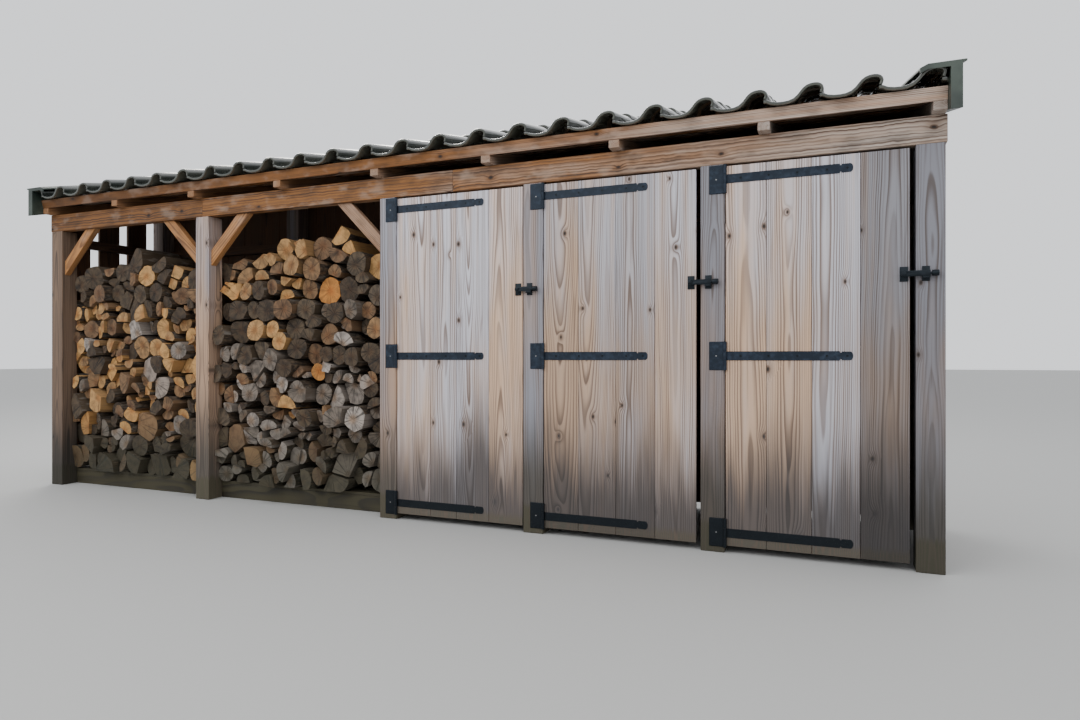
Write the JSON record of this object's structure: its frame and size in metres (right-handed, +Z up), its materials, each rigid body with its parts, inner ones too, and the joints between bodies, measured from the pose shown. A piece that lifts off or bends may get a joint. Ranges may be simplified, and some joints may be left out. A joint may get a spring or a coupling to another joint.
{
  "type": "log store",
  "caption": "Timber log store with open firewood bays and boarded cupboards under a tiled mono-pitch roof.",
  "frame": {"origin": "on the ground at the middle of the length and of the depth", "axes": "+X along the front towards the cupboards, +Y from the open front to the back, +Z up"},
  "size_m": [6.2096, 1.309, 2.6207],
  "materials": {
    "weathered_timber": "weathered, unpainted",
    "beam_timber": "rough sawn, unpainted",
    "dark_boards": "dark stained",
    "treated_timber": "green treated",
    "glazed_tile": "glazed, dark",
    "trim_paint": "satin dark green",
    "firewood": "split and round, bark on",
    "ironwork": "satin black",
    "door_timber": "weathered, unpainted"
  },
  "bodies": {
    "frame": {"front_post_1": "weathered_timber", "front_post_2": "weathered_timber", "front_post_3": "weathered_timber", "front_post_4": "weathered_timber", "front_post_5": "weathered_timber", "front_post_6": "weathered_timber", "rear_posts": "beam_timber", "front_beam": "beam_timber", "rear_beam": "beam_timber", "knee_braces": "weathered_timber", "rafters": "beam_timber", "eaves_batten": "beam_timber", "roof_battens": "beam_timber", "roof_course_1": "glazed_tile", "roof_course_2": "glazed_tile", "roof_course_3": "glazed_tile", "roof_course_4": "glazed_tile", "verge_trim_left": "trim_paint", "verge_trim_right": "trim_paint", "end_rails": "dark_boards", "back_rails": "dark_boards", "left_slats": "dark_boards", "right_boards": "dark_boards", "back_boards": "dark_boards", "floor_bearers": "treated_timber", "floor_boards": "treated_timber", "log_stack_left": "firewood", "log_stack_right": "firewood", "hinge_plates": "ironwork", "latch_catches": "ironwork"},
    "door_1": {"door_1_boards": "door_timber", "door_1_ledges": "door_timber", "door_1_straps": "ironwork", "door_1_latch_plate": "ironwork"},
    "latch_1": {"latch_bar_1": "ironwork"},
    "door_2": {"door_2_boards": "door_timber", "door_2_ledges": "door_timber", "door_2_straps": "ironwork", "door_2_latch_plate": "ironwork"},
    "latch_2": {"latch_bar_2": "ironwork"},
    "door_3": {"door_3_boards": "door_timber", "door_3_ledges": "door_timber", "door_3_straps": "ironwork", "door_3_latch_plate": "ironwork"},
    "latch_3": {"latch_bar_3": "ironwork"}
  },
  "joints": [
    {"name": "door_1_hinge", "type": "hinge", "parent": "frame", "child": "door_1", "pos_m": [0.1205, -0.5165, 0.9925], "axis": [0, 0, -1], "range_deg": [0, 120]},
    {"name": "latch_1_lift", "type": "hinge", "parent": "door_1", "child": "latch_1", "pos_m": [0.93, -0.5265, 1.368], "axis": [0, -1, 0], "range_deg": [0, 60]},
    {"name": "door_2_hinge", "type": "hinge", "parent": "frame", "child": "door_2", "pos_m": [1.0825, -0.5165, 0.9925], "axis": [0, 0, -1], "range_deg": [0, 120]},
    {"name": "latch_2_lift", "type": "hinge", "parent": "door_2", "child": "latch_2", "pos_m": [1.899, -0.5265, 1.368], "axis": [0, -1, 0], "range_deg": [0, 60]},
    {"name": "door_3_hinge", "type": "hinge", "parent": "frame", "child": "door_3", "pos_m": [2.0695, -0.5165, 0.9925], "axis": [0, 0, -1], "range_deg": [0, 120]},
    {"name": "latch_3_lift", "type": "hinge", "parent": "door_3", "child": "latch_3", "pos_m": [2.873, -0.5265, 1.368], "axis": [0, -1, 0], "range_deg": [0, 60]}
  ]
}
